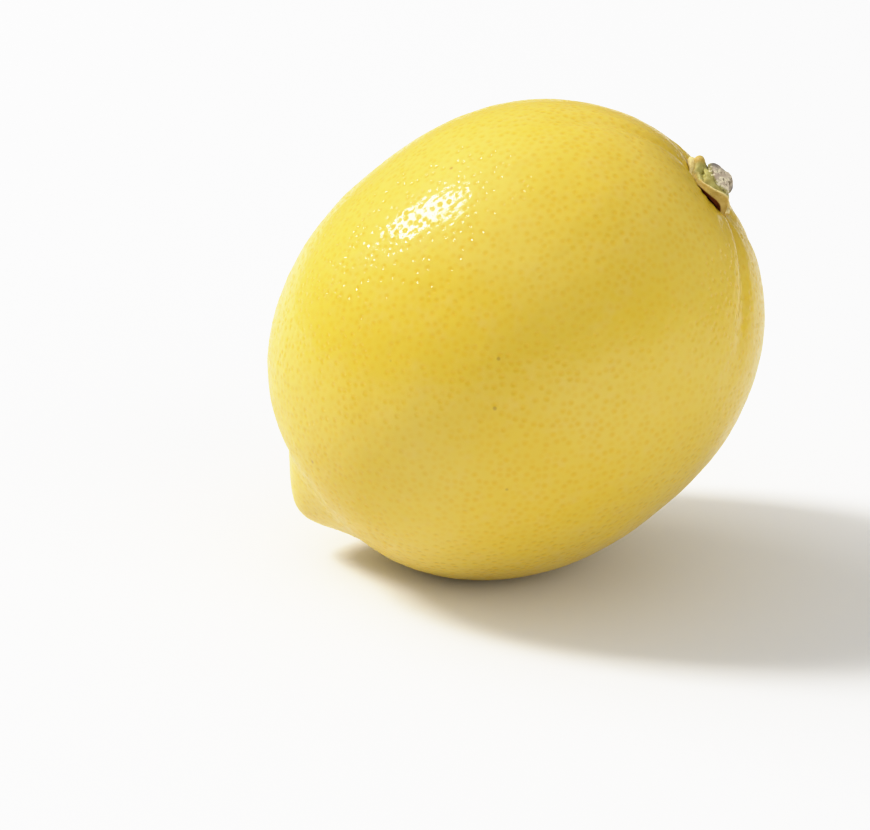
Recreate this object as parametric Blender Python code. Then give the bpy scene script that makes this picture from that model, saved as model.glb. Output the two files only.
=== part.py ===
"""A whole lemon with its dried calyx and the stub of its cut stem.

Lengths are metres and +Z is up. The fruit is grown about its own axis, blossom end at -Z and stem
end at +Z, and the empty "grown_axis" then leans that axis back so that the fruit rests on the small
flat spot low on its blossom side, with the stem end raised towards +X. The origin is the centre of
the flat spot. Azimuths go round the grown axis from its own +X, in degrees.
"""

import math

import bmesh
import bpy
from mathutils import Matrix, Vector

# Whole fruit: a rounded barrel whose section is a superellipse
EQUATOR_RADIUS = 0.0310
HALF_LENGTH = 0.0354
BARREL_POWER = 2.2
AXIS_RISE = math.radians(40.6)  # slope of the grown axis above the surface it rests on

# Slight lobes round the girth: (how many, share of the radius, azimuth of the first)
GIRTH_LOBES = ((2, 0.006, 35.0), (3, 0.005, 80.0))

# Nipple at the blossom end, inside a shallow collar groove that is deeper on one side
NIPPLE_HEIGHT = 0.0050
NIPPLE_RADIUS = 0.0066
COLLAR_RADIUS = 0.0112
COLLAR_WIDTH = 0.0030
COLLAR_DEPTH = 0.0007
COLLAR_DEEP_SIDE = 200.0

# Stem end: a dimple under the calyx, with furrows running down the shoulder from it
DIMPLE_DEPTH = 0.0016
DIMPLE_RADIUS = 0.0055
FURROWS = ((192.0, 0.8), (317.0, 1.0), (18.0, 0.5), (82.0, 0.7), (140.0, 0.4))  # (azimuth, share of depth)
FURROW_DEPTH = 0.0006
FURROW_HALF_ANGLE = 8.0
FURROW_FOOT = 0.50 * HALF_LENGTH  # height above the equator where a furrow fades out
FURROW_HEAD = 0.90 * HALF_LENGTH  # height where it is deepest

# Flat spot: how far it cuts into the barrel, and the easing from skin to flat
FLAT_DEPTH = 0.0013
FLAT_EASE = 0.0001

# Calyx: a shallow cup with five uneven sepals round a raised heart that carries the stem
SEPALS = (  # (azimuth, length beyond the heart, lift of its tip off the skin, thickness added to the edge)
    (270.0, 0.0015, 0.0008, 0.0009),
    (330.0, 0.0008, 0.0001, 0.0003),
    (35.0, 0.0014, 0.0001, 0.0003),
    (99.0, 0.0013, 0.0003, 0.0002),
    (162.0, 0.0012, 0.0001, 0.0014),
)
SEPAL_HALF_ANGLE = 30.0
CALYX_HEART_RADIUS = 0.0034
CALYX_EDGE_THICKNESS = 0.0006
CALYX_HEART_HEIGHT = 0.0024  # above the bottom of the dimple
HEART_TOP_RADIUS = 0.0023

# Stem stub: a short woody peg whose domed end is cut aslant
STUB_RADIUS = 0.00215
STUB_LENGTH = 0.0013
STUB_TILT = 0.28  # rise across the cut end, as a slope
STUB_TILT_SIDE = 75.0  # azimuth of the side that stands higher
STUB_PROFILE = (  # (share of the radius, share of the length)
    (0.0, 0.0),
    (1.0, 0.0),
    (0.94, 0.25),
    (0.97, 0.55),
    (1.0, 0.70),
    (0.90, 0.87),
    (0.58, 0.97),
    (0.0, 1.0),
)

GAP = 0.0003  # clearance between neighbouring pieces

FRUIT_SEGMENTS = 64
FRUIT_RINGS = 52
CALYX_SEGMENTS = 50
CALYX_RINGS = 7
STUB_SEGMENTS = 20
SLIVER = 0.00012  # points closer than this are merged after the flat's rim is cut in

# Colours are linear RGBA
PEEL_COLOUR = (0.710, 0.480, 0.035, 1.0)
CALYX_COLOUR = (0.300, 0.265, 0.070, 1.0)
STUB_COLOUR = (0.400, 0.315, 0.215, 1.0)


def smooth_step(low, high, value):
    """0 below low and 1 above high, with a smooth rise between them."""
    share = min(max((value - low) / (high - low), 0.0), 1.0)
    return share * share * (3.0 - 2.0 * share)


def bell(offset, width):
    """A smooth bump of height 1 at offset 0, about as wide as width to each side."""
    return math.exp(-((offset / width) ** 2))


def turn_between(azimuth, other):
    """The signed angle in degrees from other to azimuth, the short way round."""
    return (azimuth - other + 180.0) % 360.0 - 180.0


def barrel_point(share):
    """Radius and height on the plain barrel: share runs from 0 at the blossom pole to 1 at the stem."""
    angle = math.pi * (share - 0.5)
    radius = EQUATOR_RADIUS * abs(math.cos(angle)) ** (2.0 / BARREL_POWER)
    height = HALF_LENGTH * abs(math.sin(angle)) ** (2.0 / BARREL_POWER)
    return radius, math.copysign(height, angle)


def barrel_normal(radius, height):
    """The outward normal of the plain barrel, as its radial and axial parts."""
    radial = (radius / EQUATOR_RADIUS) ** (BARREL_POWER - 1.0) / EQUATOR_RADIUS
    axial = (abs(height) / HALF_LENGTH) ** (BARREL_POWER - 1.0) / HALF_LENGTH
    length = math.hypot(radial, axial)
    return radial / length, math.copysign(axial / length, height)


def furrow_depth(height, azimuth):
    """How deep the shoulder furrows are at this height and azimuth."""
    profile = sum(share * bell(turn_between(azimuth, at), FURROW_HALF_ANGLE) for at, share in FURROWS)
    return FURROW_DEPTH * profile * smooth_step(FURROW_FOOT, FURROW_HEAD, height)


def blossom_relief(radius, azimuth):
    """How far the nipple and its collar groove move the blossom end outwards along the axis."""
    deeper = 0.5 + 0.5 * math.cos(math.radians(azimuth - COLLAR_DEEP_SIDE))
    groove = COLLAR_DEPTH * deeper * bell(radius - COLLAR_RADIUS, COLLAR_WIDTH)
    return NIPPLE_HEIGHT * bell(radius, NIPPLE_RADIUS) - groove


def skin_point(share, azimuth):
    """A point of the grown skin, before the flat spot is pressed in."""
    radius, height = barrel_point(share)
    normal_radial, normal_axial = barrel_normal(radius, height)
    if height > 0.0:
        axial_shift = -DIMPLE_DEPTH * bell(radius, DIMPLE_RADIUS)
    else:
        axial_shift = -blossom_relief(radius, azimuth)
    depth = furrow_depth(height, azimuth)
    lobes = sum(size * math.cos(math.radians(count * (azimuth - at))) for count, size, at in GIRTH_LOBES)
    radius = radius * (1.0 + lobes) - depth * normal_radial
    height = height + axial_shift - depth * normal_axial
    turn = math.radians(azimuth)
    return Vector((radius * math.cos(turn), radius * math.sin(turn), height))


def dimple_height(radius):
    """Height of the skin round the stem pole, without its furrows."""
    barrel = HALF_LENGTH * (1.0 - (radius / EQUATOR_RADIUS) ** BARREL_POWER) ** (1.0 / BARREL_POWER)
    return barrel - DIMPLE_DEPTH * bell(radius, DIMPLE_RADIUS)


def add_rings(bm, rings, first_pole, last_pole):
    """Join rings of points into one closed skin that ends in a pole at each side."""
    loops = [[bm.verts.new(point) for point in ring] for ring in rings]
    first = bm.verts.new(first_pole)
    last = bm.verts.new(last_pole)
    count = len(loops[0])
    for i in range(count):
        after = (i + 1) % count
        bm.faces.new((first, loops[0][after], loops[0][i]))
        bm.faces.new((last, loops[-1][i], loops[-1][after]))
        for lower, upper in zip(loops, loops[1:]):
            bm.faces.new((lower[i], lower[after], upper[after], upper[i]))


def lowest_on_barrel():
    """The way down in the grown frame, and the point of the plain barrel that is furthest that way."""
    down = Vector((math.cos(AXIS_RISE), 0.0, -math.sin(AXIS_RISE)))
    conjugate = BARREL_POWER / (BARREL_POWER - 1.0)
    across = EQUATOR_RADIUS * down.x
    along = HALF_LENGTH * -down.z
    reach = (across**conjugate + along**conjugate) ** (1.0 / conjugate)
    radius = EQUATOR_RADIUS * (across / reach) ** (conjugate - 1.0)
    height = -HALF_LENGTH * (along / reach) ** (conjugate - 1.0)
    return down, Vector((radius, 0.0, height))


def press_flat(bm, down, reach):
    """Flatten the skin that lies beyond reach along down, easing from skin to flat at its rim."""
    for rim in (reach - FLAT_EASE, reach + FLAT_EASE):
        geometry = bm.verts[:] + bm.edges[:] + bm.faces[:]
        bmesh.ops.bisect_plane(bm, geom=geometry, plane_co=down * rim, plane_no=down)
    bmesh.ops.remove_doubles(bm, verts=bm.verts[:], dist=SLIVER)
    pressed = set()
    for vert in bm.verts:
        past = vert.co.dot(down) - reach
        if past > FLAT_EASE - SLIVER / 4.0:
            vert.co -= down * past
            pressed.add(vert)
        elif past > -FLAT_EASE:
            vert.co -= down * (past + FLAT_EASE) ** 2 / (4.0 * FLAT_EASE)
    flat = [face for face in bm.faces if all(vert in pressed for vert in face.verts)]
    bmesh.ops.dissolve_faces(bm, faces=flat, use_verts=True)


def make_material(name, colour, roughness):
    material = bpy.data.materials.new(name)
    material.use_nodes = True
    shader = material.node_tree.nodes["Principled BSDF"]
    shader.inputs["Base Color"].default_value = colour
    shader.inputs["Roughness"].default_value = roughness
    shader.inputs["Metallic"].default_value = 0.0
    material.diffuse_color = colour
    return material


def make_object(name, bm, material, parent):
    """Turn the finished bmesh into a smooth-shaded object on the grown axis."""
    bmesh.ops.recalc_face_normals(bm, faces=bm.faces)
    mesh = bpy.data.meshes.new(name)
    bm.to_mesh(mesh)
    bm.free()
    mesh.shade_smooth()
    mesh.set_sharp_from_angle(angle=math.radians(50.0))
    mesh.materials.append(material)
    piece = bpy.data.objects.new(name, mesh)
    bpy.context.scene.collection.objects.link(piece)
    piece.parent = parent
    return piece


def make_grown_axis(down, lowest):
    """The empty that leans the grown axis and stands the centre of the flat spot on the origin."""
    axis = bpy.data.objects.new("grown_axis", None)
    bpy.context.scene.collection.objects.link(axis)
    lean = Matrix.Rotation(math.pi / 2.0 - AXIS_RISE, 3, "Y")
    flat_centre = lowest - down * FLAT_DEPTH
    axis.rotation_euler = lean.to_euler()
    axis.location = -(lean @ flat_centre)
    return axis


def make_fruit(axis, down, lowest):
    bm = bmesh.new()
    rings = [
        [skin_point(i / FRUIT_RINGS, 360.0 * j / FRUIT_SEGMENTS) for j in range(FRUIT_SEGMENTS)]
        for i in range(1, FRUIT_RINGS)
    ]
    blossom_tip = Vector((0.0, 0.0, -HALF_LENGTH - blossom_relief(0.0, 0.0)))
    add_rings(bm, rings, blossom_tip, Vector((0.0, 0.0, dimple_height(0.0))))
    press_flat(bm, down, lowest.dot(down) - FLAT_DEPTH)
    make_object("fruit", bm, make_material("peel", PEEL_COLOUR, 0.35), axis)


def sepal_sum(azimuth, column):
    """One column of the sepals blended round the calyx: 1 is length, 2 is lift and 3 is thickness."""
    return sum(sepal[column] * bell(turn_between(azimuth, sepal[0]), SEPAL_HALF_ANGLE) for sepal in SEPALS)


def calyx_section(azimuth):
    """Points of the calyx at this azimuth, from under its middle round its edge to its heart's top."""
    edge = CALYX_HEART_RADIUS + sepal_sum(azimuth, 1)
    thickness = CALYX_EDGE_THICKNESS + sepal_sum(azimuth, 3)
    heart_top = dimple_height(0.0) + CALYX_HEART_HEIGHT
    under, over = [], []
    for i in range(1, CALYX_RINGS + 1):
        share = i / CALYX_RINGS
        radius = edge * share
        low = dimple_height(radius) + GAP + sepal_sum(azimuth, 2) * share**3
        slope = smooth_step(HEART_TOP_RADIUS, CALYX_HEART_RADIUS, radius)
        high = heart_top + (low + thickness - heart_top) * slope
        under.append((radius, low))
        over.append((radius - 0.2 * thickness * share**4, high))
    return under + over[::-1]


def make_calyx(axis):
    bm = bmesh.new()
    sections = []
    for j in range(CALYX_SEGMENTS):
        azimuth = 360.0 * j / CALYX_SEGMENTS
        turn = math.radians(azimuth)
        section = calyx_section(azimuth)
        sections.append([Vector((r * math.cos(turn), r * math.sin(turn), z)) for r, z in section])
    rings = [list(ring) for ring in zip(*sections)]
    under_pole = Vector((0.0, 0.0, dimple_height(0.0) + GAP))
    heart_pole = Vector((0.0, 0.0, dimple_height(0.0) + CALYX_HEART_HEIGHT))
    add_rings(bm, rings, under_pole, heart_pole)
    make_object("calyx", bm, make_material("calyx", CALYX_COLOUR, 0.6), axis)


def make_stem_stub(axis):
    """Spin the stub's profile once round the grown axis, then slant it more and more towards its end."""
    bm = bmesh.new()
    verts = [bm.verts.new((STUB_RADIUS * across, 0.0, STUB_LENGTH * along)) for across, along in STUB_PROFILE]
    edges = [bm.edges.new(pair) for pair in zip(verts, verts[1:])]
    bmesh.ops.spin(
        bm,
        geom=verts + edges,
        axis=(0.0, 0.0, 1.0),
        cent=(0.0, 0.0, 0.0),
        steps=STUB_SEGMENTS,
        angle=math.tau,
        use_merge=True,
    )
    bmesh.ops.remove_doubles(bm, verts=bm.verts, dist=1e-6)
    side = math.radians(STUB_TILT_SIDE)
    for vert in bm.verts:
        toward_side = vert.co.x * math.cos(side) + vert.co.y * math.sin(side)
        vert.co.z += STUB_TILT * toward_side * vert.co.z / STUB_LENGTH
    stub = make_object("stem_stub", bm, make_material("stem", STUB_COLOUR, 0.85), axis)
    stub.location.z = dimple_height(0.0) + CALYX_HEART_HEIGHT + GAP


def main():
    for old in list(bpy.data.objects):
        bpy.data.objects.remove(old, do_unlink=True)
    down, lowest = lowest_on_barrel()
    axis = make_grown_axis(down, lowest)
    make_fruit(axis, down, lowest)
    make_calyx(axis)
    make_stem_stub(axis)


main()
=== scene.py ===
"""Looks of the lemon: pitted peel, dried calyx and corky stem stub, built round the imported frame.

Lengths are metres. The grown frame is the fruit's own: +Z runs to the stem end, and azimuths go
round it from +X in degrees. PLACE takes it into the row frame, with the fruit on its flat spot.
"""

import math
from types import SimpleNamespace

import bmesh
import bpy
import numpy as np
from mathutils import Matrix, Vector, kdtree, noise


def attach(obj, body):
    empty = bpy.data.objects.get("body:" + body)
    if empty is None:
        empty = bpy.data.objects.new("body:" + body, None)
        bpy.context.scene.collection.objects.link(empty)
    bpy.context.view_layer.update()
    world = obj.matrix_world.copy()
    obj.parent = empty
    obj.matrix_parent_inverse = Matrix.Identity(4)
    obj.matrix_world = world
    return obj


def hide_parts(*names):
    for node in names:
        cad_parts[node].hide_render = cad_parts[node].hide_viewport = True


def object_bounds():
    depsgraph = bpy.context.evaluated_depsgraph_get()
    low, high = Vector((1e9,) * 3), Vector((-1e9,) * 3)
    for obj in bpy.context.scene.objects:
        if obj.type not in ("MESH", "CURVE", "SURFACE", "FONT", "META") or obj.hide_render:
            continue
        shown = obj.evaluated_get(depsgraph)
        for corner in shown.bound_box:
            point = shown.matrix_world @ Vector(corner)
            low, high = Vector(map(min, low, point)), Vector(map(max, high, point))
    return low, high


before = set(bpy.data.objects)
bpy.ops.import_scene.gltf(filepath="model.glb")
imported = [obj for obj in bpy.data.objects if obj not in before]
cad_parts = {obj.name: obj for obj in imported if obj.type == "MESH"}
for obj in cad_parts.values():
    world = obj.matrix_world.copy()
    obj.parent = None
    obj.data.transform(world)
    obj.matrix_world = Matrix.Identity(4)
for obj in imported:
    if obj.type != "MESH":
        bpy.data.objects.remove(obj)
cad_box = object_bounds()

# The grown skin, by the same rule and sizes as the CAD fruit
EQUATOR_RADIUS = 0.0310
HALF_LENGTH = 0.0354
BARREL_POWER = 2.2
AXIS_RISE = math.radians(40.6)
GIRTH_LOBES = ((2, 0.006, 35.0), (3, 0.005, 80.0))  # (lobes, share of the radius, azimuth)
NIPPLE_HEIGHT = 0.0050
NIPPLE_RADIUS = 0.0066
COLLAR_RADIUS = 0.0112
COLLAR_WIDTH = 0.0030
COLLAR_DEPTH = 0.0007
COLLAR_DEEP_SIDE = 200.0
DIMPLE_DEPTH = 0.0016
DIMPLE_RADIUS = 0.0055
FURROWS = ((192.0, 0.8), (317.0, 1.0), (18.0, 0.5), (82.0, 0.7), (140.0, 0.4))  # (azimuth, share of depth)
FURROW_DEPTH = 0.00045
FURROW_HALF_ANGLE = 6.0
FURROW_FOOT = 0.50 * HALF_LENGTH
FURROW_HEAD = 0.90 * HALF_LENGTH
FLAT_DEPTH = 0.0013
FLAT_EASE = 0.0004

# Fine relief of the peel
SKIN_CUTS = 125  # cuts across each side of the cube that the skin's grid starts from
POLE_CROWDING = 0.07  # how far the grid's rings are drawn towards both poles
SWELLS = (  # (waves per metre, height)
    (70.0, 0.00022),
    (170.0, 0.00007),
    (420.0, 0.000035),
    (1000.0, 0.000012),
)
PORE_SPACING = 0.00085
PORE_TRIES = 60000  # about one in six becomes an oil gland
PORE_LAYERS = ("pore_a", "pore_b")  # offsets from the nearest and the second nearest oil gland
PIT_RADIUS = 0.00036
PIT_DEPTH = 0.00004
PIMPLE_COUNT = 170
PIMPLE_HEIGHT = 0.00013
PIMPLE_SIZES = (-0.5, 1.0)  # shares of PIMPLE_HEIGHT; below 0 is a hollow
PIMPLE_WIDTHS = (0.0006, 0.0011)
WRINKLE_COUNT = 19.0
WRINKLE_SWAY = 60.0  # how far the wrinkles are crowded and spread, SWAY_COUNT times round the axis
SWAY_COUNT = 3.0
WRINKLE_HEIGHT = 0.00006
WRINKLE_SPAN = (0.0150, 0.0050)  # radii where the wrinkles start and where they are full
CREASE_DEPTH = 0.00022
CREASE_HALF_ANGLE = 3.5
CREASE_FOOT = 0.62 * HALF_LENGTH
STEM_TINT_SPAN = (0.016, 0.004)  # radii where the stem end's tint starts and where it is full
UNDER_CALYX_SHADE_EASE = 0.0007  # how far in from the calyx's edge the skin under it is fully painted shade, dark brown

# Calyx, in the grown frame: (azimuth in degrees, value) round the rim, straight in between, then softened
RIM_REACH = ((0, 0.0043), (35, 0.0048), (60, 0.0042), (99, 0.0048), (130, 0.0042), (150, 0.0042),
             (165, 0.0040), (182, 0.0036), (200, 0.00335), (216, 0.0035), (228, 0.0038), (240, 0.0043),
             (255, 0.0047), (275, 0.0048), (300, 0.0048), (315, 0.0045), (333, 0.0044), (350, 0.0042))
RIM_LIFT = ((0, 0.0), (85, 0.0), (99, 0.0003), (113, 0.0), (228, 0.0), (245, 0.00025), (262, 0.00055),
            (277, 0.00080), (288, 0.00075), (296, 0.0004), (302, 0.0), (350, 0.0))
RIM_THICKNESS = ((0, 0.0006), (18, 0.0006), (35, 0.0009), (55, 0.0006), (82, 0.0006), (99, 0.0008),
                 (120, 0.0007), (136, 0.0014), (148, 0.0020), (168, 0.0020), (184, 0.0015), (200, 0.0012),
                 (222, 0.0010), (238, 0.0008), (250, 0.0010), (262, 0.0011), (275, 0.0014), (286, 0.0016),
                 (300, 0.0016), (312, 0.0010), (325, 0.0007))
RIM_WIDTH = ((0, 0.0005), (135, 0.0008), (150, 0.0013), (165, 0.0013), (182, 0.0010), (200, 0.0007),
             (225, 0.0005), (240, 0.0004), (300, 0.0005))
FLAKE_REACH = ((140, 0.0), (150, 0.0009), (160, 0.0011), (172, 0.0009), (190, 0.0004), (205, 0.0), (250, 0.0))
VALLEY_FILL = ((0, 0.0), (125, 0.0), (142, 1.0), (225, 1.0), (243, 0.0))  # 1 fills the valley to the crest
CREST_HIGHLIGHT_AZIMUTHS = (228.0, 238.0)  # where the painted highlight along the rim's crest starts and where it is full
HEART_FOOT = (0.0033, 0.0007)  # (radius, height over the skin)
HEART_SHOULDER = (0.00285, 0.03585)  # (radius, height in the grown frame)
HEART_TOP = (0.0023, 0.03630)
HEART_DOME = 0.0001
CREST_DROP = 0.0001  # how far a filled valley stays below the crest
LOBE_AT = (164.0, 0.0041, 0.0360)  # azimuth in degrees, radius and height of the fat upper lobe
LOBE_RADIUS = 0.0010
LOBE_SWELL = 0.0006
CALYX_LUMPS = (  # (as lumps takes them, share of the height off the heart)
    (600.0, 0.00016, 3.0, 0.35),
    (1700.0, 0.00007, 9.0, 0.30),
)
CALYX_AROUND = 240

# Stem stub, in the grown frame
STUB_RADIUS = 0.00215
STUB_FOOT = 0.0359
STUB_END = 0.03725
STUB_DOME = 0.0003
STUB_TILT = 0.28
STUB_TILT_SIDE = 75.0  # the side that stands higher
STUB_LUMPS = ((750.0, 0.00020, 5.0), (2000.0, 0.00010, 1.0))  # as lumps takes them
SHADE_RING_RADIUS = 0.97 * STUB_RADIUS  # the ring at the edge of the stub's end that gets painted shade on one side
SHADE_RING_WIDTH = 0.0006
KNOB_SIDE = 150.0  # azimuth of the knob on the bark
KNOB_HALF_ANGLE = 38.0
KNOB_HEIGHT = STUB_END - 0.0006
KNOB_RADIUS = 0.0005
KNOB_SWELL = 0.0006
STUB_AROUND = 160

CORNER_CUTS = 3  # how often the corners of the turned sections are cut
RIM_SOFTENING = 3  # how often the values round the rim are softened

# Looks of the peel: colours are linear red, green, blue and alpha
PEEL_PALE = (0.71, 0.522, 0.070, 1.0)
PEEL_DEEP = (0.70, 0.494, 0.038, 1.0)
PEEL_CLOUD = (0.71, 0.510, 0.095, 1.0)
GLAND_SPOT = (0.67, 0.395, 0.004, 1.0)
STEM_END_TINT = (0.56, 0.375, 0.014, 1.0)
SPECK_BROWN = (0.30, 0.16, 0.03, 1.0)
# painted shade: dark brown on the skin under the calyx's edge, where the gap under the lifted rim lies in
# shade
UNDER_CALYX_SHADE = (0.45, 0.10, 0.020, 1.0)
SPOT_FADE = 0.00070  # distance from a gland at which its spot is gone
PIT_FADE = 0.00048  # distance from a gland at which its shaded pit is level
SPOT_SHARE = 0.62
SPECKS_PER_METRE = 130.0
PEEL_BUMPS = (  # (shader socket, depth of the pits, height of the grain, height of the waves)
    ("Normal", 0.000022, 0.000009, 0.0),
    ("Coat Normal", 0.000115, 0.000010, 0.00004),
)

# Looks of the calyx
HEART_DARK = (0.35, 0.29, 0.060, 1.0)
HEART_LIGHT = (0.50, 0.455, 0.13, 1.0)
RIM_DARK = (0.45, 0.29, 0.04, 1.0)
RIM_LIGHT = (0.60, 0.43, 0.10, 1.0)
# the flake's own pale cream, also used as a painted highlight along the rim's top edge
CREAM_FLAKE_AND_CREST_HIGHLIGHT = (0.76, 0.62, 0.26, 1.0)
# painted shade: dark spots standing for small hollows
CALYX_HOLLOW_SHADE = (0.20, 0.13, 0.03, 1.0)
# painted shade: dark brown under the rim where it lifts off the skin
UNDERSIDE_SHADE = (0.16, 0.030, 0.006, 1.0)
CALYX_GRAIN_HEIGHT = 0.000045

# Looks of the stem stub
BARK_DARK = (0.24, 0.20, 0.05, 1.0)
BARK_LIGHT = (0.42, 0.38, 0.13, 1.0)
CORK_DARK = (0.44, 0.34, 0.25, 1.0)
CORK_LIGHT = (0.62, 0.53, 0.38, 1.0)
FIBRE_CREAM = (0.80, 0.72, 0.50, 1.0)
# painted shade in the cork's hollows
CORK_HOLLOW_SHADE = (0.14, 0.10, 0.035, 1.0)
# painted shade: dark grey along one side of the end's edge
SHADE_RING_GREY = (0.08, 0.065, 0.065, 1.0)
CORK_GRAIN_HEIGHT = 0.00007
CORK_HOLLOW_DEPTH = 0.00008

# Studio
SKY_TOP = 0.69
SKY_EDGE = 0.20
SKY_FULL = 0.8  # height of the sky's direction at which it reaches SKY_TOP
FLOOR_LIGHTNESS = 0.82
FLOOR_SIZE = 3.0
LIGHT_DISTANCE = 3.0
LIGHTS = (  # (name, direction, long side, size over distance, watts, seen in reflections)
    ("core", (-0.671, 0.156, 0.725), (0.28, -0.04, 0.26), (0.36, 0.18), 73.0, True),
    ("soft", (-0.70, 0.32, 0.64), (0.28, -0.04, 0.26), (0.80, 0.65), 38.0, False),
    ("fill", (0.70, -0.62, 0.36), (0.66, 0.75, 0.0), (0.9, 0.9), 30.0, False),
)
TONE_KNEE = 0.6
TONE_WHITE = 2.4
TONE_STEPS = 16

# Camera
VIEW_AZIMUTH = math.radians(3.0)
VIEW_ELEVATION = math.radians(21.0)
VIEW_DISTANCE = 0.4565
FRUIT_RIGHT = 0.0113  # how far the fruit's middle shows right of the picture's
FRUIT_ABOVE = 0.0104  # how far it shows above it
FOCAL_LENGTH = 135.0  # millimetres
SENSOR_WIDTH = 36.0
CLIP_END = 20.0

rng = np.random.default_rng(7)


def placement():
    """The matrix PLACE and, in the grown frame, the way down and how far down the flat spot lies."""
    down = np.array((math.cos(AXIS_RISE), 0.0, -math.sin(AXIS_RISE)))
    conjugate = BARREL_POWER / (BARREL_POWER - 1.0)
    across = EQUATOR_RADIUS * down[0]
    along = HALF_LENGTH * -down[2]
    reach = (across**conjugate + along**conjugate) ** (1.0 / conjugate)
    radius = EQUATOR_RADIUS * (across / reach) ** (conjugate - 1.0)
    height = -HALF_LENGTH * (along / reach) ** (conjugate - 1.0)
    flat_centre = Vector((radius, 0.0, height)) - Vector(down) * FLAT_DEPTH
    lean = Matrix.Rotation(math.pi / 2.0 - AXIS_RISE, 4, "Y")
    return Matrix.Translation(-(lean @ flat_centre)) @ lean, down, reach - FLAT_DEPTH


PLACE, DOWN, FLAT_REACH = placement()


def smooth_step(low, high, value):
    """0 at low and beyond it, 1 at high and beyond it, with a smooth change between them."""
    share = np.clip((value - low) / (high - low), 0.0, 1.0)
    return share * share * (3.0 - 2.0 * share)


def bell(offset, width):
    """A smooth bump of height 1 at offset 0, about as wide as width to each side."""
    return np.exp(-((offset / width) ** 2))


def turn_between(azimuth, other):
    """The signed angle in degrees from other to azimuth, the short way round."""
    return (azimuth - other + 180.0) % 360.0 - 180.0


def furrow_profile(azimuth, half_angle):
    """How deep the furrows are at an azimuth, 1 in the middle of the deepest."""
    return sum(share * bell(turn_between(azimuth, at), half_angle) for at, share in FURROWS)


def skin(share, azimuth):
    """Points of the grown skin for arrays of share, 0 at the blossom pole to 1 at the stem, and azimuth."""
    angle = np.pi * (share - 0.5)
    radius = EQUATOR_RADIUS * np.abs(np.cos(angle)) ** (2.0 / BARREL_POWER)
    height = HALF_LENGTH * np.abs(np.sin(angle)) ** (2.0 / BARREL_POWER)
    radial = (radius / EQUATOR_RADIUS) ** (BARREL_POWER - 1.0) / EQUATOR_RADIUS
    axial = (height / HALF_LENGTH) ** (BARREL_POWER - 1.0) / HALF_LENGTH
    length = np.hypot(radial, axial)
    height = np.copysign(height, angle)
    deeper = 0.5 + 0.5 * np.cos(np.radians(azimuth - COLLAR_DEEP_SIDE))
    groove = COLLAR_DEPTH * deeper * bell(radius - COLLAR_RADIUS, COLLAR_WIDTH)
    nipple = NIPPLE_HEIGHT * bell(radius, NIPPLE_RADIUS) - groove
    dimple = DIMPLE_DEPTH * bell(radius, DIMPLE_RADIUS)
    shift = np.where(height > 0.0, -dimple, -nipple)
    depth = FURROW_DEPTH * furrow_profile(azimuth, FURROW_HALF_ANGLE)
    depth = depth * smooth_step(FURROW_FOOT, FURROW_HEAD, height)
    lobes = sum(size * np.cos(np.radians(count * (azimuth - at))) for count, size, at in GIRTH_LOBES)
    radius = radius * (1.0 + lobes) - depth * radial / length
    height = height + shift - depth * np.copysign(axial / length, angle)
    turn = np.radians(azimuth)
    return np.stack((radius * np.cos(turn), radius * np.sin(turn), height), axis=-1)


def skin_toward(directions):
    """Skin points for unit vectors in the grown frame, drawn a little towards the poles."""
    polar = np.arccos(np.clip(directions[:, 2], -1.0, 1.0))
    polar = polar - POLE_CROWDING * np.sin(2.0 * polar)
    azimuth = np.degrees(np.arctan2(directions[:, 1], directions[:, 0])) % 360.0
    return skin(1.0 - polar / np.pi, azimuth)


def skin_height(radius, azimuths):
    """Height of the stem end's skin at a radius from the grown axis."""
    share = 0.5 + np.arccos((radius / EQUATOR_RADIUS) ** (BARREL_POWER / 2.0)) / np.pi
    return skin(share, azimuths)[..., 2]


def polar_of(points):
    """Radius from the grown axis and azimuth, 0 to 360 degrees, of each point."""
    azimuth = np.degrees(np.arctan2(points[:, 1], points[:, 0])) % 360.0
    return np.hypot(points[:, 0], points[:, 1]), azimuth


def scatter_pores():
    """Oil glands spread evenly but without order: points at least PORE_SPACING apart on the skin."""
    tries = rng.normal(size=(PORE_TRIES, 3))
    tries /= np.linalg.norm(tries, axis=1)[:, None]
    points = skin_toward(tries)
    steps = [(i, j, k) for i in (-1, 0, 1) for j in (-1, 0, 1) for k in (-1, 0, 1)]
    cells = {}
    kept = []
    for index, (x, y, z) in enumerate(np.floor(points / PORE_SPACING).astype(int).tolist()):
        near = [other for i, j, k in steps for other in cells.get((x + i, y + j, z + k), ())]
        if all(((points[index] - points[other]) ** 2).sum() > PORE_SPACING**2 for other in near):
            cells.setdefault((x, y, z), []).append(index)
            kept.append(index)
    return points[kept]


def tree_of(points):
    """A tree that finds the nearest of the points."""
    tree = kdtree.KDTree(len(points))
    for index, point in enumerate(points):
        tree.insert(point, index)
    tree.balance()
    return tree


def lumps(points, frequency, size, shift=0.0):
    """Uneven bumps: a noise height at each point."""
    away = Vector((shift, 0.0, 0.0))
    return size * np.array([noise.noise(Vector(point) * frequency + away) for point in points])


def pimples(points, pores):
    """Scattered low bumps and hollows a millimetre or so wide."""
    heights = np.zeros(len(points))
    for centre in pores[rng.choice(len(pores), PIMPLE_COUNT, replace=False)]:
        size = rng.uniform(*PIMPLE_SIZES) * PIMPLE_HEIGHT
        width = rng.uniform(*PIMPLE_WIDTHS)
        heights += size * bell(np.linalg.norm(points - centre, axis=1), width)
    return heights


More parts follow.
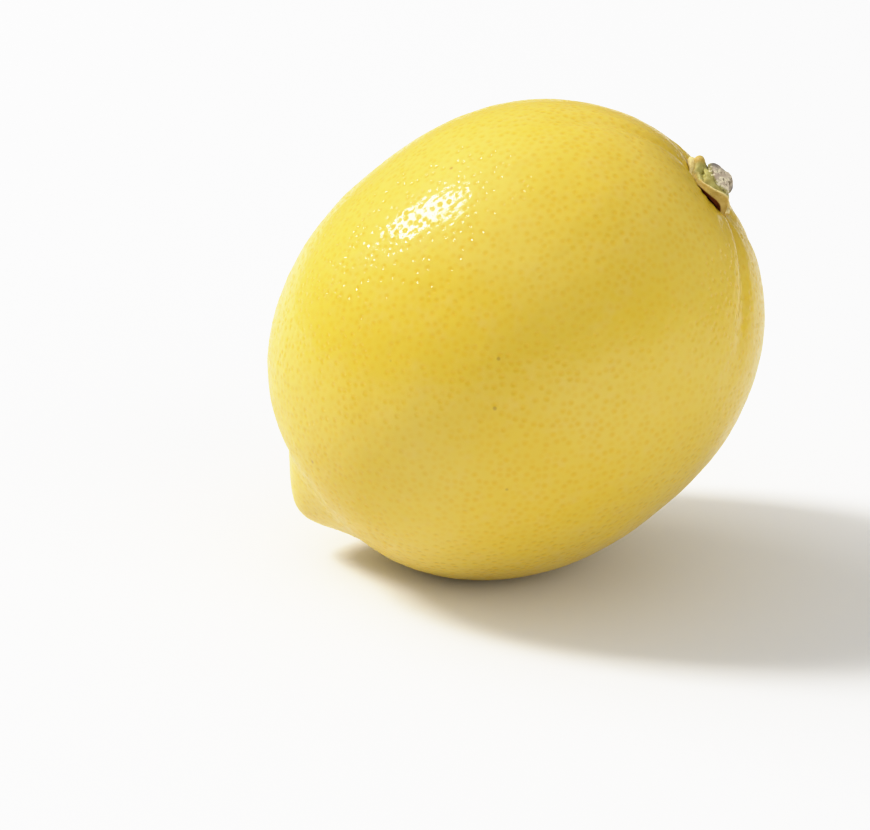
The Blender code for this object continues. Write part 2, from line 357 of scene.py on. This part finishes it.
def stem_wrinkles(points):
    """Fine wrinkles that run out from under the calyx, and a sharper crease down each furrow."""
    radius, azimuth = polar_of(points)
    near = np.where(points[:, 2] > 0.0, smooth_step(*WRINKLE_SPAN, radius), 0.0)
    sway = WRINKLE_SWAY * np.sin(np.radians(azimuth * SWAY_COUNT))
    ripple = np.cos(np.radians(azimuth * WRINKLE_COUNT + sway))
    crease = furrow_profile(azimuth, CREASE_HALF_ANGLE) * smooth_step(CREASE_FOOT, FURROW_HEAD, points[:, 2])
    return WRINKLE_HEIGHT * ripple * near - CREASE_DEPTH * crease


def press_flat(points):
    """Flatten the skin beyond the flat spot's plane, easing from skin to flat at its rim."""
    past = points @ DOWN - FLAT_REACH
    eased = np.where(past > FLAT_EASE, past, np.maximum(past + FLAT_EASE, 0.0) ** 2 / (4.0 * FLAT_EASE))
    return points - eased[:, None] * DOWN


def spherified_cube(name):
    """The grid that the skin is made on: a finely cut cube, and the unit vectors its corners go to."""
    bm = bmesh.new()
    bmesh.ops.create_cube(bm, size=2.0)
    bmesh.ops.subdivide_edges(bm, edges=bm.edges[:], cuts=SKIN_CUTS, use_grid_fill=True)
    mesh = bpy.data.meshes.new(name)
    bm.to_mesh(mesh)
    bm.free()
    directions = np.tan(points_of(mesh) * np.pi / 4.0)
    return mesh, directions / np.linalg.norm(directions, axis=1)[:, None]


def points_of(mesh):
    points = np.empty(len(mesh.vertices) * 3)
    mesh.vertices.foreach_get("co", points)
    return points.reshape(-1, 3)


def set_points(mesh, points):
    mesh.vertices.foreach_set("co", np.ascontiguousarray(points).ravel())
    mesh.update()


def normals_of(mesh):
    normals = np.empty(len(mesh.vertices) * 3)
    mesh.vertex_normals.foreach_get("vector", normals)
    return normals.reshape(-1, 3)


def store(mesh, name, values, kind="FLOAT", domain="POINT"):
    """Keep an array on the mesh under a name that the material can read."""
    field = "vector" if kind == "FLOAT_VECTOR" else "value"
    layer = mesh.attributes.new(name, kind, domain)
    layer.data.foreach_set(field, np.ascontiguousarray(values, dtype=np.float32).ravel())


def store_pores(mesh, points, pores, tree):
    """Give each face corner its offset from the two glands nearest the face, and each face their tones."""
    corners = np.empty(len(mesh.loops), dtype=np.int32)
    mesh.loops.foreach_get("vertex_index", corners)
    corners = corners.reshape(-1, 4)
    middles = points[corners].mean(axis=1)
    nearest = np.array([[found[1] for found in tree.find_n(middle, 2)] for middle in middles])
    tones = rng.uniform(0.0, 1.0, len(pores))
    for name, owner in zip(PORE_LAYERS, nearest.T):
        store(mesh, name, points[corners] - pores[owner][:, None, :], "FLOAT_VECTOR", "CORNER")
        store(mesh, name + "_tone", tones[owner], "FLOAT", "FACE")


def node(tree, kind, inputs=None, **settings):
    """Add a shader node, choose its settings, and link or set its inputs."""
    made = tree.nodes.new(kind)
    for name, value in settings.items():
        setattr(made, name, value)
    for key, value in (inputs or {}).items():
        if isinstance(value, bpy.types.NodeSocket):
            tree.links.new(value, made.inputs[key])
        else:
            made.inputs[key].default_value = value
    return made


def maths(tree, operation, *values):
    """The result of a maths node on two or three values."""
    return node(tree, "ShaderNodeMath", dict(enumerate(values)), operation=operation).outputs[0]


def remap(tree, value, low, high, to_low=0.0, to_high=1.0):
    """Ease value from low..high to to_low..to_high."""
    inputs = {"Value": value, "From Min": low, "From Max": high, "To Min": to_low, "To Max": to_high}
    return node(tree, "ShaderNodeMapRange", inputs, interpolation_type="SMOOTHSTEP").outputs["Result"]


def blend(tree, factor, first, second):
    """Mix two colours, from first at factor 0 to second at 1."""
    return node(tree, "ShaderNodeMix", {0: factor, 6: first, 7: second}, data_type="RGBA").outputs[2]


def attribute(tree, name, output="Fac"):
    """What store kept on the mesh under a name."""
    return node(tree, "ShaderNodeAttribute", attribute_name=name).outputs[output]


def noise_value(tree, place, scale, detail=2.0, roughness=0.5):
    """Noise with scale waves per metre, mostly 0.3 to 0.7."""
    inputs = {"Vector": place, "Scale": scale, "Detail": detail, "Roughness": roughness}
    return node(tree, "ShaderNodeTexNoise", inputs).outputs["Fac"]


def add_bump(tree, shader, socket, height):
    """Let a height in metres tilt the shader's normal of that name."""
    bump = node(tree, "ShaderNodeBump", {"Height": height, "Distance": 1.0, "Strength": 1.0})
    tree.links.new(bump.outputs["Normal"], shader.inputs[socket])


def start_material(name):
    """A new material, its node tree and its shader."""
    material = bpy.data.materials.new(name)
    material.use_nodes = True
    return material, material.node_tree, material.node_tree.nodes["Principled BSDF"]


def object_place(tree):
    """Where a point of the piece is, in metres."""
    return node(tree, "ShaderNodeTexCoord").outputs["Object"]


def gland_marks(tree):
    """Spots and pits of the oil glands, 0 to 1, stronger over some glands than over others."""
    spots, pits = [], []
    for name in PORE_LAYERS:
        offset = attribute(tree, name, "Vector")
        distance = node(tree, "ShaderNodeVectorMath", {0: offset}, operation="LENGTH").outputs["Value"]
        tone = attribute(tree, name + "_tone")
        dark = remap(tree, tone, 0.0, 1.0, 0.45, 1.0)
        deep = remap(tree, tone, 0.25, 0.95, 0.22, 1.0)
        spots.append(maths(tree, "MULTIPLY", remap(tree, distance, 0.0, SPOT_FADE, 1.0, 0.0), dark))
        pits.append(maths(tree, "MULTIPLY", remap(tree, distance, 0.0, PIT_FADE, 1.0, 0.0), deep))
    return maths(tree, "MAXIMUM", *spots), maths(tree, "MAXIMUM", *pits)


def peel_material():
    """Waxy peel: pale ground, a deeper spot over each oil gland, pits, specks, a stem-end tint and painted
    shade under the calyx.
    """
    material, tree, shader = start_material("lemon_peel")
    place = object_place(tree)
    spot, pit = gland_marks(tree)

    broad = noise_value(tree, place, 45.0, 3.0)
    ground = blend(tree, remap(tree, broad, 0.35, 0.65), PEEL_PALE, PEEL_DEEP)
    cloud = noise_value(tree, place, 330.0, 3.0, 0.6)
    ground = blend(tree, remap(tree, cloud, 0.45, 0.8, 0.0, 0.5), ground, PEEL_CLOUD)
    region = remap(tree, noise_value(tree, place, 38.0), 0.32, 0.62, 0.6, 1.0)
    spot = maths(tree, "MULTIPLY", spot, region)
    colour = blend(tree, maths(tree, "MULTIPLY", spot, SPOT_SHARE), ground, GLAND_SPOT)
    stem_end = maths(tree, "MULTIPLY", attribute(tree, "stem_end"), 0.95)
    colour = blend(tree, stem_end, colour, STEM_END_TINT)
    cells = node(tree, "ShaderNodeTexVoronoi", {"Vector": place, "Scale": SPECKS_PER_METRE})
    speck = remap(tree, cells.outputs["Distance"], 0.02, 0.05, 0.5, 0.0)
    colour = blend(tree, speck, colour, SPECK_BROWN)
    # painted shade: the skin under the calyx's edge is made dark brown
    colour = blend(tree, attribute(tree, "under_calyx_shade"), colour, UNDER_CALYX_SHADE)
    tree.links.new(colour, shader.inputs["Base Color"])

    grain = noise_value(tree, place, 2600.0, 3.0, 0.6)
    waves = noise_value(tree, place, 800.0)
    for socket, pit_depth, grain_height, wave_height in PEEL_BUMPS:
        raised = maths(tree, "MULTIPLY", waves, wave_height)
        raised = maths(tree, "MULTIPLY_ADD", grain, grain_height, raised)
        sunk = maths(tree, "MULTIPLY", pit, pit_depth)
        add_bump(tree, shader, socket, maths(tree, "SUBTRACT", raised, sunk))
    rough = remap(tree, noise_value(tree, place, 900.0), 0.3, 0.7, 0.46, 0.56)
    tree.links.new(rough, shader.inputs["Roughness"])
    shader.inputs["Specular IOR Level"].default_value = 0.12
    shader.inputs["Coat Weight"].default_value = 0.42
    shader.inputs["Coat Roughness"].default_value = 0.075
    shader.inputs["Subsurface Weight"].default_value = 0.12
    shader.inputs["Subsurface Radius"].default_value = (1.0, 0.55, 0.08)
    shader.inputs["Subsurface Scale"].default_value = 0.002
    return material


def calyx_material():
    """Dried sepals: olive lumpy heart, ochre rim with a cream crest that is partly a painted highlight, and
    painted shade in dark brown under the lifted rim.
    """
    material, tree, shader = start_material("calyx")
    place = object_place(tree)
    mottle = noise_value(tree, place, 700.0, 4.0, 0.6)
    heart = blend(tree, remap(tree, mottle, 0.35, 0.65), HEART_DARK, HEART_LIGHT)
    rim = blend(tree, remap(tree, mottle, 0.35, 0.7), RIM_DARK, RIM_LIGHT)
    colour = blend(tree, attribute(tree, "heart"), rim, heart)
    # cream: the flake's own pale colour, and a painted highlight along the rim's top edge
    cream = remap(tree, noise_value(tree, place, 1600.0, 3.0), 0.3, 0.6, 0.55, 1.0)
    cream = maths(tree, "MULTIPLY", cream, attribute(tree, "crest"))
    colour = blend(tree, cream, colour, CREAM_FLAKE_AND_CREST_HIGHLIGHT)
    # painted shade: dark spots where no hollow is built
    shaded_hollow = remap(tree, noise_value(tree, place, 1500.0), 0.26, 0.38, 0.55, 0.0)
    colour = blend(tree, shaded_hollow, colour, CALYX_HOLLOW_SHADE)
    # painted shade under the lifted rim
    colour = blend(tree, attribute(tree, "underside_shade"), colour, UNDERSIDE_SHADE)
    tree.links.new(colour, shader.inputs["Base Color"])

    grain = noise_value(tree, place, 3200.0, 4.0, 0.65)
    add_bump(tree, shader, "Normal", maths(tree, "MULTIPLY", grain, CALYX_GRAIN_HEIGHT))
    tree.links.new(remap(tree, grain, 0.3, 0.7, 0.50, 0.68), shader.inputs["Roughness"])
    shader.inputs["Subsurface Weight"].default_value = 0.10
    shader.inputs["Subsurface Radius"].default_value = (1.0, 0.8, 0.2)
    shader.inputs["Subsurface Scale"].default_value = 0.0006
    return material


def stub_material():
    """Stem stub: olive bark, and a corky end with cream fibres, painted shade in its hollows and along one
    side of its rim.
    """
    material, tree, shader = start_material("stem_stub")
    place = object_place(tree)
    mottle = noise_value(tree, place, 900.0, 4.0, 0.6)
    bark = blend(tree, remap(tree, mottle, 0.35, 0.65), BARK_DARK, BARK_LIGHT)
    cork = blend(tree, remap(tree, mottle, 0.35, 0.65), CORK_DARK, CORK_LIGHT)
    colour = blend(tree, attribute(tree, "end_face"), bark, cork)
    fibres = remap(tree, noise_value(tree, place, 1700.0, 3.0, 0.6), 0.50, 0.60, 0.0, 0.9)
    colour = blend(tree, fibres, colour, FIBRE_CREAM)
    # painted shade in the cork's hollows, which the bump also sinks
    shaded_hollow = remap(tree, noise_value(tree, place, 1500.0), 0.30, 0.44, 0.85, 0.0)
    colour = blend(tree, shaded_hollow, colour, CORK_HOLLOW_SHADE)
    # painted shade along one side of the end's edge
    shade_ring = maths(tree, "MULTIPLY", attribute(tree, "shaded_rim"), remap(tree, mottle, 0.3, 0.6, 0.75, 1.0))
    colour = blend(tree, shade_ring, colour, SHADE_RING_GREY)
    tree.links.new(colour, shader.inputs["Base Color"])

    grain = noise_value(tree, place, 3600.0, 4.0, 0.65)
    raised = maths(tree, "MULTIPLY", grain, CORK_GRAIN_HEIGHT)
    sunk = maths(tree, "MULTIPLY", shaded_hollow, CORK_HOLLOW_DEPTH)
    add_bump(tree, shader, "Normal", maths(tree, "SUBTRACT", raised, sunk))
    tree.links.new(remap(tree, grain, 0.3, 0.7, 0.65, 0.85), shader.inputs["Roughness"])
    return material


def finish_piece(name, mesh, material, replaced):
    """Place a mesh made in the grown frame, dress it, and let it stand for its CAD node."""
    mesh.transform(PLACE)
    mesh.shade_smooth()
    mesh.materials.append(material)
    piece = bpy.data.objects.new(name, mesh)
    bpy.context.scene.collection.objects.link(piece)
    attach(piece, "root")
    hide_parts(replaced)


def make_peel():
    """The skin with its glands, swells, pimples and wrinkles, pressed flat where it rests."""
    mesh, directions = spherified_cube("lemon_peel")
    points = skin_toward(directions)
    set_points(mesh, points)
    normals = normals_of(mesh)
    pores = scatter_pores()
    tree = tree_of(pores)
    store_pores(mesh, points, pores, tree)

    gap = np.array([tree.find(point)[2] for point in points])
    height = sum(lumps(points, frequency, size) for frequency, size in SWELLS)
    height = height + pimples(points, pores) + stem_wrinkles(points) - PIT_DEPTH * bell(gap, PIT_RADIUS)

    radius, azimuth = polar_of(points)
    inside = np.interp(azimuth, *zip(*RIM_REACH), period=360.0) - radius
    upper = points[:, 2] > 0.0
    store(mesh, "stem_end", np.where(upper, smooth_step(*STEM_TINT_SPAN, radius), 0.0))
    # where the skin under the calyx gets its painted shade
    store(mesh, "under_calyx_shade", np.where(upper, smooth_step(0.0, UNDER_CALYX_SHADE_EASE, inside), 0.0))
    set_points(mesh, press_flat(points + normals * height[:, None]))
    finish_piece("lemon_peel", mesh, peel_material(), "fruit")


def around(control, azimuths):
    """Values at azimuths from (azimuth, value) pairs, straight in between and then softened."""
    at, given = zip(*control)
    values = np.interp(azimuths, at, given, period=360.0)
    for _ in range(RIM_SOFTENING):
        values = (np.roll(values, 1) + 2.0 * values + np.roll(values, -1)) / 4.0
    return values


def rounded(sections):
    """Cut the corners of every section (azimuth, point, 2) a few times over; its ends stay."""
    for _ in range(CORNER_CUTS):
        near = 0.75 * sections[:, :-1] + 0.25 * sections[:, 1:]
        far = 0.25 * sections[:, :-1] + 0.75 * sections[:, 1:]
        inner = np.stack((near, far), axis=2).reshape(len(sections), -1, 2)
        sections = np.concatenate((sections[:, :1], inner, sections[:, -1:]), axis=1)
    return sections


def lathe_mesh(name, path, azimuths):
    """A closed body round the axis from a path of (radius, height), each a number or an array by azimuth."""
    zero = np.zeros_like(azimuths)
    sections = rounded(np.stack([np.stack((zero + r, zero + z), axis=-1) for r, z in path], axis=1))
    turn = np.radians(azimuths)[:, None]
    body = sections[:, 1:-1]
    rings = body.shape[1]
    points = np.stack((body[..., 0] * np.cos(turn), body[..., 0] * np.sin(turn), body[..., 1]), axis=-1)
    ends = np.array(((0.0, 0.0, sections[:, 0, 1].mean()), (0.0, 0.0, sections[:, -1, 1].mean())))
    count = len(azimuths)
    foot, crown = count * rings, count * rings + 1
    faces = []
    for i in range(count):
        j = (i + 1) % count
        faces.append((foot, j * rings, i * rings))
        faces.append((crown, i * rings + rings - 1, j * rings + rings - 1))
        for k in range(rings - 1):
            faces.append((i * rings + k, j * rings + k, j * rings + k + 1, i * rings + k + 1))
    mesh = bpy.data.meshes.new(name)
    mesh.from_pydata(np.concatenate((points.reshape(-1, 3), ends)).tolist(), [], faces)
    mesh.update()
    return mesh


def calyx_ring(azimuths):
    """How the collar of sepals runs round the axis, as arrays by azimuth."""
    ring = SimpleNamespace(azimuths=azimuths)
    ring.reach = around(RIM_REACH, azimuths)
    ring.thick = around(RIM_THICKNESS, azimuths)
    ring.width = around(RIM_WIDTH, azimuths)
    ring.lift = around(RIM_LIFT, azimuths)
    ring.flake = around(FLAKE_REACH, azimuths)
    ring.fill = around(VALLEY_FILL, azimuths)
    ring.base = skin_height(ring.reach, azimuths)
    ring.lip = ring.base + ring.lift
    return ring


def calyx_path(ring):
    """The collar's section from the foot on the axis, out under the rim, over it and in over the heart."""
    reach, lip, thick, flake = ring.reach, ring.lip, ring.thick, ring.flake
    foot_radius, foot_rise = HEART_FOOT
    shoulder_radius, shoulder_height = HEART_SHOULDER
    top_radius, top_height = HEART_TOP

    def skin_at(radius):
        return skin_height(np.zeros_like(reach) + radius, ring.azimuths)

    crest = lip + thick
    shoulder = shoulder_height + ring.fill * np.maximum(crest - CREST_DROP - shoulder_height, 0.0)
    valley = skin_at(foot_radius) + foot_rise
    valley = valley + ring.fill * (np.maximum(shoulder, crest) - CREST_DROP - valley)
    inner_edge = reach - ring.width
    return (
        # the underside, sunk into the skin's dimple
        (0.0, skin_at(0.0) + 0.0002),
        (0.0015, skin_at(0.0015) + 0.0001 + 0.3 * ring.lift),
        (reach - 0.00075, skin_at(reach - 0.00075) + 0.15 * ring.lift),
        (reach - 0.00045, ring.base + 0.75 * ring.lift),
        # the pale flake, which is nothing where its reach is 0
        (reach - 0.00020 + flake, lip - 0.00008 + 0.35 * flake),
        (reach + flake, lip - 0.00004 + 0.92 * flake),
        (reach + 0.55 * flake, lip + 0.20 * thick + 0.7 * flake),
        # the rim's outer side and crest
        (reach - 0.00005, lip + 0.45 * thick),
        (reach + 0.00004, lip + 0.85 * thick),
        (reach - 0.00012, crest),
        (inner_edge, lip + 0.97 * thick),
        # the valley and the heart
        (inner_edge - 0.00030, lip + (0.55 + 0.42 * ring.fill) * thick),
        (np.minimum(foot_radius, inner_edge - 0.0004), valley),
        (shoulder_radius, shoulder),
        (top_radius, top_height),
        (0.0012, top_height + HEART_DOME),
        (0.0, top_height + HEART_DOME),
    )


def mark_calyx(mesh, points, ring):
    """Store where the underside's painted shade, the crest's cream and painted highlight, and the heart are,
    and return the heart and the upper lobe.
    """
    radius, bearing = polar_of(points)

    def here(values):
        return np.interp(bearing, ring.azimuths, values, period=360.0)

    edge, flaked = here(ring.reach), here(ring.flake)
    rise = (points[:, 2] - here(ring.lip)) / here(ring.thick)
    # painted shade on the rim's lower side, only where the rim lifts off the skin
    under_shade = smooth_step(0.12, -0.02, rise) * smooth_step(0.00005, 0.0002, here(ring.lift))
    # the crest mark: a painted highlight along the rim's top edge on the front, and the flake's own pale
    # colour
    crest = smooth_step(0.80, 0.98, rise) * smooth_step(0.0009, 0.0004, edge - radius)
    crest = crest * smooth_step(*CREST_HIGHLIGHT_AZIMUTHS, bearing)
    crest = np.maximum(crest, smooth_step(0.0001, 0.0003, flaked) * smooth_step(0.0, 0.0002, radius - edge))

    side, out, up = LOBE_AT
    side = math.radians(side)
    lobe_middle = np.array((out * math.cos(side), out * math.sin(side), up))
    lobe = bell(np.linalg.norm(points - lobe_middle, axis=1), LOBE_RADIUS)
    olive = smooth_step(0.5, 1.0, here(ring.fill)) * smooth_step(0.35, 0.8, rise)
    heart = np.maximum(smooth_step(edge - 0.0004, edge - 0.0010, radius), olive)
    heart = heart * (1.0 - smooth_step(0.25, 0.65, lobe))
    store(mesh, "underside_shade", under_shade)
    store(mesh, "crest", crest)
    store(mesh, "heart", heart)
    return heart, lobe


def make_calyx():
    """The dried sepals as one ragged collar: rim, valley and a lumpy heart round the stub."""
    ring = calyx_ring(np.arange(CALYX_AROUND) * 360.0 / CALYX_AROUND)
    mesh = lathe_mesh("calyx_sepals", calyx_path(ring), ring.azimuths)
    points, normals = points_of(mesh), normals_of(mesh)
    heart, lobe = mark_calyx(mesh, points, ring)
    height = sum(
        lumps(points, frequency, size, shift) * (plain + (1.0 - plain) * heart)
        for frequency, size, shift, plain in CALYX_LUMPS
    )
    height = height * (1.0 - 0.9 * lobe) + LOBE_SWELL * lobe
    set_points(mesh, points + normals * height[:, None])
    finish_piece("calyx_sepals", mesh, calyx_material(), "calyx")


def make_stub():
    """The short stem stub: bark side with a knob, and a lumpy end cut aslant."""
    path = (
        (0.0, STUB_FOOT),
        (0.6 * STUB_RADIUS, STUB_FOOT),
        (1.02 * STUB_RADIUS, STUB_FOOT),
        (0.99 * STUB_RADIUS, STUB_FOOT + 0.0005),
        (1.01 * STUB_RADIUS, STUB_END - 0.0006),
        (0.98 * STUB_RADIUS, STUB_END - 0.0002),
        (0.82 * STUB_RADIUS, STUB_END + 0.00012),
        (0.55 * STUB_RADIUS, STUB_END + 0.8 * STUB_DOME),
        (0.25 * STUB_RADIUS, STUB_END + STUB_DOME),
        (0.0, STUB_END + STUB_DOME),
    )
    mesh = lathe_mesh("stem_stub_cork", path, np.arange(STUB_AROUND) * 360.0 / STUB_AROUND)
    points, normals = points_of(mesh), normals_of(mesh)
    radius, bearing = polar_of(points)
    rise = points[:, 2]
    toward_high_side = np.cos(np.radians(bearing - STUB_TILT_SIDE))

    # painted shade: a dark grey ring at the end's edge, on the high side only
    rim = bell(radius - SHADE_RING_RADIUS, SHADE_RING_WIDTH) * smooth_step(STUB_END - 0.0006, STUB_END - 0.0002, rise)
    store(mesh, "end_face", smooth_step(STUB_END - 0.00030, STUB_END - 0.00005, rise))
    store(mesh, "shaded_rim", rim * smooth_step(-0.7, 0.1, toward_high_side))

    knob = bell(turn_between(bearing, KNOB_SIDE), KNOB_HALF_ANGLE) * bell(rise - KNOB_HEIGHT, KNOB_RADIUS)
    height = sum(lumps(points, *lump) for lump in STUB_LUMPS) + KNOB_SWELL * knob
    height = height * smooth_step(STUB_FOOT, STUB_FOOT + 0.0006, rise)
    points = points + normals * height[:, None]
    points[:, 2] += STUB_TILT * radius * toward_high_side * smooth_step(STUB_FOOT, STUB_END, points[:, 2])
    set_points(mesh, points)
    finish_piece("stem_stub_cork", mesh, stub_material(), "stem_stub")


def make_floor():
    """A plain pale floor."""
    bpy.ops.mesh.primitive_plane_add(size=FLOOR_SIZE, location=(0.0, 0.0, 0.0))
    floor = bpy.context.object
    floor.name = "floor"
    material, _, shader = start_material("floor")
    shader.inputs["Base Color"].default_value = (FLOOR_LIGHTNESS, FLOOR_LIGHTNESS, FLOOR_LIGHTNESS, 1.0)
    shader.inputs["Roughness"].default_value = 0.9
    shader.inputs["Specular IOR Level"].default_value = 0.1
    floor.data.materials.append(material)


def make_sky():
    """A sky that lights the fruit more from above than from its edge, and is white behind it."""
    world = bpy.data.worlds.new("studio")
    world.use_nodes = True
    sky = world.node_tree
    background = sky.nodes["Background"]
    background.inputs["Color"].default_value = (1.0, 1.0, 1.0, 1.0)
    direction = node(sky, "ShaderNodeTexCoord").outputs["Generated"]
    height = node(sky, "ShaderNodeSeparateXYZ", {"Vector": direction}).outputs["Z"]
    lit = remap(sky, height, 0.0, SKY_FULL, SKY_EDGE, SKY_TOP)
    seen = node(sky, "ShaderNodeLightPath").outputs["Is Camera Ray"]
    strength = node(sky, "ShaderNodeMix", {0: seen, 2: lit, 3: TONE_WHITE}, data_type="FLOAT").outputs[0]
    sky.links.new(strength, background.inputs["Strength"])
    bpy.context.scene.world = world


def make_light(name, toward, long_side, size, power, reflected):
    """A rectangular soft light that faces the fruit, its long side along long_side."""
    light = bpy.data.lights.new(name, "AREA")
    light.shape = "RECTANGLE"
    light.size = size[0] * LIGHT_DISTANCE
    light.size_y = size[1] * LIGHT_DISTANCE
    light.energy = power
    lamp = bpy.data.objects.new(name, light)
    lamp.visible_glossy = reflected
    bpy.context.scene.collection.objects.link(lamp)
    toward = Vector(toward).normalized()
    along = Vector(long_side)
    along = (along - toward * along.dot(toward)).normalized()
    across = toward.cross(along)
    middle = (cad_box[0] + cad_box[1]) / 2.0
    turn = Matrix((along, across, toward)).transposed().to_4x4()
    lamp.matrix_world = Matrix.Translation(middle + toward * LIGHT_DISTANCE) @ turn


def make_camera():
    """The camera, a little above the fruit and nearly square to its leaning axis."""
    back = Vector((
        math.sin(VIEW_AZIMUTH) * math.cos(VIEW_ELEVATION),
        -math.cos(VIEW_AZIMUTH) * math.cos(VIEW_ELEVATION),
        math.sin(VIEW_ELEVATION),
    ))
    right = Vector((math.cos(VIEW_AZIMUTH), math.sin(VIEW_AZIMUTH), 0.0))
    up = back.cross(right)
    camera = bpy.data.cameras.new("camera")
    camera.lens = FOCAL_LENGTH
    camera.sensor_width = SENSOR_WIDTH
    camera.clip_end = CLIP_END
    viewer = bpy.data.objects.new("camera", camera)
    bpy.context.scene.collection.objects.link(viewer)
    fruit_middle = PLACE.to_translation()
    aim = fruit_middle - right * FRUIT_RIGHT - up * FRUIT_ABOVE
    viewer.location = aim + back * VIEW_DISTANCE
    viewer.rotation_euler = back.to_track_quat("Z", "Y").to_euler()
    bpy.context.scene.camera = viewer


def tone_curve():
    """A soft shoulder: straight up to TONE_KNEE, then bending over so that TONE_WHITE is full white."""
    settings = bpy.context.scene.view_settings
    settings.view_transform = "Standard"
    settings.use_curve_mapping = True
    mapping = settings.curve_mapping
    mapping.white_level = (TONE_WHITE, TONE_WHITE, TONE_WHITE)
    curve = mapping.curves[3]
    room = 1.0 - TONE_KNEE
    curve.points[0].location = (0.0, 0.0)
    curve.points[1].location = (1.0, 1.0)
    for step in range(1, TONE_STEPS):
        level = TONE_WHITE * step / TONE_STEPS
        shown = level if level < TONE_KNEE else TONE_KNEE + room * math.tanh((level - TONE_KNEE) / room)
        curve.points.new(step / TONE_STEPS, shown)
    mapping.update()


make_peel()
make_calyx()
make_stub()

make_floor()
make_sky()
for light in LIGHTS:
    make_light(*light)
make_camera()
tone_curve()
